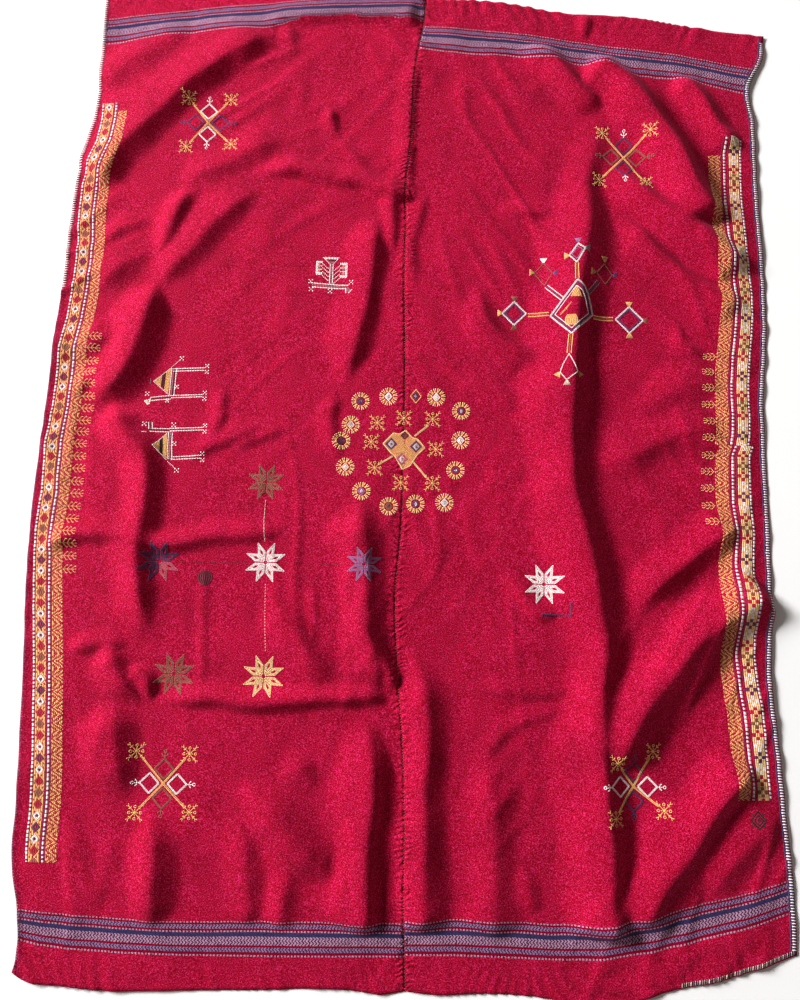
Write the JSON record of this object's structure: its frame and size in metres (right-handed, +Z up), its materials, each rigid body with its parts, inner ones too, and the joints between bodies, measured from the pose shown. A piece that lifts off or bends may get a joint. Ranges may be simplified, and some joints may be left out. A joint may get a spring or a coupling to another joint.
{
  "type": "embroidered wool shawl, laid flat",
  "caption": "Crimson wool shawl of two loom widths sewn edge to edge, laid face up with soft folds, with woven end stripes and embroidered borders and motifs.",
  "frame": {"origin": "on the floor, under the middle of the shawl's box", "axes": "+Y along the shawl from its near end to its far end, +X across it, +Z up out of its embroidered face"},
  "size_m": [1.3536, 1.912, 0.028],
  "materials": {
    "crimson_wool_left": "matt wool twill with a light nap, woven end stripes",
    "crimson_wool_right": "matt wool twill with a light nap, woven end stripes"
  },
  "bodies": {
    "root": {"panel_left": "crimson_wool_left", "panel_right": "crimson_wool_right"}
  },
  "joints": []
}
